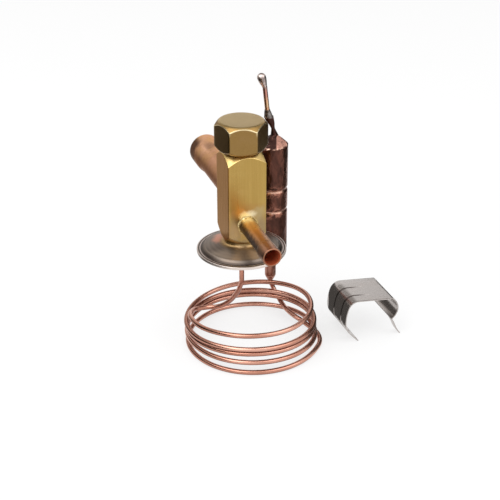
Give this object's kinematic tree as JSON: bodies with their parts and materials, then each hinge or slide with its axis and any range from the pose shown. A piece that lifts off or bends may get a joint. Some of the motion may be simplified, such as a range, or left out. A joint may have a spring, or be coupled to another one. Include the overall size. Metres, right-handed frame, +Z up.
{
  "type": "thermostatic expansion valve",
  "caption": "Brass bar valve with solder tubes on two sides, flat sensing head, capillary coil, sensing bulb and strap clip.",
  "frame": {"origin": "the valve axis, in the plane that the coiled capillary lies on", "axes": "+Z up along the valve axis from the sensing head to the seal cap; -Y is the side seen in the picture"},
  "size_m": [0.1175, 0.11, 0.1373],
  "materials": {
    "bar_brass": "satin turned and drawn brass with heat tint",
    "cap_brass": "satin turned brass",
    "head_steel": "turned stainless steel with concentric marks",
    "clip_steel": "dull stainless strip",
    "inner_steel": "ground stainless steel",
    "spring_steel": "spring wire and thin sheet",
    "inner_brass": "bright turned brass",
    "seal_white": "white sealing ring",
    "seal_black": "black ring seal",
    "inlet_copper": "copper with yellow to orange heat tint",
    "outlet_copper": "pink satin copper",
    "capillary_copper": "drawn copper tube",
    "bulb_copper": "dark heat-tinted copper",
    "charging_copper": "drawn copper tube",
    "braze_filler": "dull braze filler",
    "joint_filler": "grey silver solder"
  },
  "bodies": {
    "valve": {"valve_body": "bar_brass", "seat_insert": "inner_steel", "inlet_tube": "inlet_copper", "inlet_braze": "braze_filler", "inlet_strainer": "inner_brass", "outlet_tube": "outlet_copper", "outlet_braze": "braze_filler", "head_upper_case": "head_steel", "head_lower_case": "head_steel", "diaphragm": "spring_steel", "superheat_spring": "spring_steel", "gland_washer": "seal_white", "gland_nut": "inner_brass", "capillary_tube": "capillary_copper", "capillary_ferrule": "inner_brass", "bulb_shell": "bulb_copper", "fishtail_joint": "joint_filler", "charging_tube": "charging_copper", "bulb_clip": "clip_steel"},
    "pin_group": {"thrust_plate": "inner_brass", "push_rod": "inner_steel", "valve_pin": "inner_steel", "pin_carrier": "inner_brass"},
    "stem": {"adjusting_stem": "inner_steel", "stem_ring": "seal_black"},
    "spring_seat": {"spring_seat": "inner_brass"},
    "cap_seal": {"cap_washer": "seal_white"},
    "cap": {"seal_cap": "cap_brass"}
  },
  "joints": [
    {"name": "pin_stroke", "type": "slide", "parent": "valve", "child": "pin_group", "axis": [0, 0, 1], "range_m": [0, 0.0007], "stiffness_N_per_m": 400, "deforming": ["superheat_spring", "diaphragm"]},
    {"name": "stem_turn", "type": "hinge", "parent": "valve", "child": "stem", "pos_m": [0, 0, 0.12], "axis": [0, 0, 1], "range_deg": [-1080, 720]},
    {"name": "seat_travel", "type": "slide", "parent": "stem", "child": "spring_seat", "axis": [0, 0, 1], "range_m": [-0.003, 0.002]},
    {"name": "cap_lift", "type": "slide", "parent": "valve", "child": "cap_seal", "axis": [0, 0, 1], "range_m": [0, 0.0075]},
    {"name": "cap_turn", "type": "hinge", "parent": "cap_seal", "child": "cap", "pos_m": [0, 0, 0.1205], "axis": [0, 0, 1], "range_deg": [0, 1800]}
  ],
  "couplings": [
    {"joint": "stem_turn", "follows": "seat_travel", "rad_per_m": 6283.2},
    {"joint": "cap_lift", "follows": "cap_turn", "m_per_rad": 0.00023873}
  ]
}
